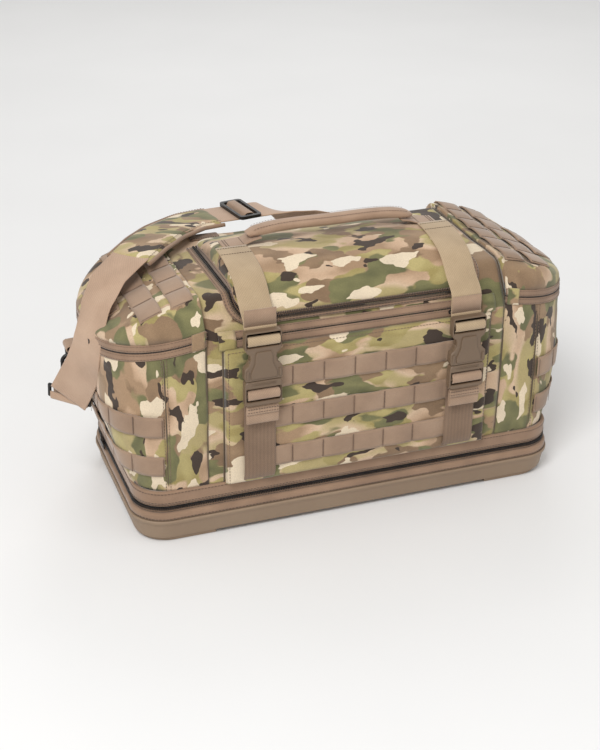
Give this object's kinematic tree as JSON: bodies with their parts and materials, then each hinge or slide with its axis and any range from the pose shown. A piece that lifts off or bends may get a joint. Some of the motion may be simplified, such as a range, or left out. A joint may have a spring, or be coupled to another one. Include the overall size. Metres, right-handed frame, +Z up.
{
  "type": "hard-based duffel bag",
  "caption": "Printed fabric duffel with a moulded base tray, zipped base and end pockets, arched lid, compression straps with side-release buckles, carry handle and shoulder strap.",
  "frame": {"origin": "centre of the overall footprint, at the level the feet stand on", "axes": "+X along the bag, +Y from front to back, +Z up"},
  "size_m": [0.6741, 0.3076, 0.3431],
  "materials": {
    "tray_plastic": "moulded, fine grain",
    "foam": "closed-cell foam",
    "binding": "woven binding tape",
    "zipper_black": "nylon coil on tape",
    "zipper_tan": "reversed coil zipper tape",
    "camo_fabric": "woven nylon, printed",
    "webbing": "woven nylon webbing",
    "board": "stiffener sheet",
    "buckle_plastic": "acetal, fine grain",
    "black_hardware": "black hardware, satin",
    "slider_metal": "satin",
    "grip_fabric": "padded fabric",
    "pad_fabric": "padded fabric, printed"
  },
  "bodies": {
    "base": {"base_tray": "tray_plastic", "tray_liner": "foam", "tray_binding": "binding", "base_zipper_lower": "zipper_black", "base_hinge_strip": "binding"},
    "upper_bag": {"base_zipper_upper": "zipper_black", "skirt_band": "binding", "floor_board": "board", "main_shell": "camo_fabric", "wall_foam": "foam", "front_pocket": "camo_fabric", "front_pocket_zipper": "zipper_tan", "front_rows": "webbing", "lid_zipper_lower": "zipper_black", "ring_tabs": "webbing", "shoulder_strap": "webbing", "shoulder_pad": "pad_fabric", "left_end_pocket": "camo_fabric", "left_end_zipper_lower": "zipper_tan", "left_end_zipper_upper": "zipper_tan", "left_end_cap": "camo_fabric", "left_end_rows": "webbing", "left_cap_strips": "webbing", "left_lower_strap": "webbing", "left_back_strap": "webbing", "left_strap_ring": "black_hardware", "right_end_pocket": "camo_fabric", "right_end_zipper_lower": "zipper_tan", "right_end_rows": "webbing", "right_lower_strap": "webbing", "right_back_strap": "webbing", "right_strap_ring": "black_hardware"},
    "right_flap": {"right_end_cap": "camo_fabric", "right_end_zipper_upper": "zipper_tan", "right_cap_strips": "webbing"},
    "lid": {"lid_panel": "camo_fabric", "lid_zipper_upper": "zipper_black", "left_upper_strap": "webbing", "right_upper_strap": "webbing", "left_female_buckle": "buckle_plastic", "right_female_buckle": "buckle_plastic"},
    "handle": {"carry_handle": "grip_fabric", "handle_core": "board"},
    "left_male": {"left_male_buckle": "buckle_plastic", "left_strap_tail": "webbing"},
    "right_male": {"right_male_buckle": "buckle_plastic", "right_strap_tail": "webbing"},
    "glide": {"tri_glide": "black_hardware"},
    "lid_zip_slider": {"lid_slider": "slider_metal"},
    "pocket_zip_slider": {"front_pocket_slider": "slider_metal"},
    "left_ring": {"left_d_ring": "black_hardware"},
    "left_hook": {"left_snap_hook": "black_hardware"},
    "left_gate": {"left_hook_gate": "black_hardware"},
    "left_base_zip_slider": {"left_base_slider": "slider_metal"},
    "left_end_zip_slider": {"left_end_slider": "slider_metal"},
    "right_ring": {"right_d_ring": "black_hardware"},
    "right_hook": {"right_snap_hook": "black_hardware"},
    "right_gate": {"right_hook_gate": "black_hardware"},
    "right_base_zip_slider": {"right_base_slider": "slider_metal"},
    "right_end_zip_slider": {"right_end_slider": "slider_metal"}
  },
  "joints": [
    {"name": "base_opening", "type": "hinge", "parent": "base", "child": "upper_bag", "pos_m": [0, 0.123, 0.046], "axis": [-1, 0, 0], "range_deg": [0, 85], "deforming": ["base_hinge_strip"]},
    {"name": "lid_opening", "type": "hinge", "parent": "upper_bag", "child": "lid", "pos_m": [0, 0.064, 0.2945], "axis": [-1, 0, 0], "range_deg": [0, 88]},
    {"name": "handle_tilt", "type": "hinge", "parent": "lid", "child": "handle", "pos_m": [0, -0.018, 0.33], "axis": [1, 0, 0], "range_deg": [-25, 25], "stiffness_Nm_per_rad": 0.4},
    {"name": "right_flap_opening", "type": "hinge", "parent": "upper_bag", "child": "right_flap", "pos_m": [0.1846, 0, 0.303], "axis": [0, -1, 0], "range_deg": [0, 60]},
    {"name": "left_buckle_release", "type": "slide", "parent": "upper_bag", "child": "left_male", "axis": [0, 0, -1], "range_m": [0, 0.03]},
    {"name": "right_buckle_release", "type": "slide", "parent": "upper_bag", "child": "right_male", "axis": [0, 0, -1], "range_m": [0, 0.03]},
    {"name": "strap_adjust", "type": "slide", "parent": "upper_bag", "child": "glide", "axis": [0.9856, 0.169, 0], "range_m": [-0.012, 0.012]},
    {"name": "lid_zip_travel", "type": "slide", "parent": "upper_bag", "child": "lid_zip_slider", "axis": [0, -1, 0], "range_m": [-0.025, 0.07]},
    {"name": "pocket_zip_travel", "type": "slide", "parent": "upper_bag", "child": "pocket_zip_slider", "axis": [-1, 0, 0], "range_m": [0, 0.26]},
    {"name": "left_ring_swing", "type": "hinge", "parent": "upper_bag", "child": "left_ring", "pos_m": [-0.313, 0.008, 0.208], "axis": [0, 1, 0], "range_deg": [-4, 4]},
    {"name": "left_hook_swivel", "type": "hinge", "parent": "upper_bag", "child": "left_hook", "pos_m": [-0.313, 0.008, 0.208], "axis": [-0.0499, 0, -0.9988], "range_deg": [-10, 10]},
    {"name": "left_gate_press", "type": "hinge", "parent": "left_hook", "child": "left_gate", "pos_m": [-0.32276, 0.008, 0.17294], "axis": [0, 1, 0], "range_deg": [0, 12], "stiffness_Nm_per_rad": 0.02, "springref_deg": -5.73},
    {"name": "left_base_zip_travel", "type": "slide", "parent": "base", "child": "left_base_zip_slider", "axis": [0, -1, 0], "range_m": [0, 0.12]},
    {"name": "left_end_zip_travel", "type": "slide", "parent": "upper_bag", "child": "left_end_zip_slider", "axis": [0, 1, 0], "range_m": [0, 0.045]},
    {"name": "right_ring_swing", "type": "hinge", "parent": "upper_bag", "child": "right_ring", "pos_m": [0.313, 0.008, 0.208], "axis": [0, 1, 0], "range_deg": [-4, 4]},
    {"name": "right_hook_swivel", "type": "hinge", "parent": "upper_bag", "child": "right_hook", "pos_m": [0.31306, 0.0058, 0.20691], "axis": [0.0301, 0.7986, -0.6011], "range_deg": [-10, 10]},
    {"name": "right_gate_press", "type": "hinge", "parent": "right_hook", "child": "right_gate", "pos_m": [0.32212, 0.03396, 0.18571], "axis": [0, -0.6013, -0.799], "range_deg": [0, 12], "stiffness_Nm_per_rad": 0.02, "springref_deg": -5.73},
    {"name": "right_base_zip_travel", "type": "slide", "parent": "base", "child": "right_base_zip_slider", "axis": [0, -1, 0], "range_m": [0, 0.12]},
    {"name": "right_end_zip_travel", "type": "slide", "parent": "upper_bag", "child": "right_end_zip_slider", "axis": [0, 1, 0], "range_m": [0, 0.045]}
  ]
}
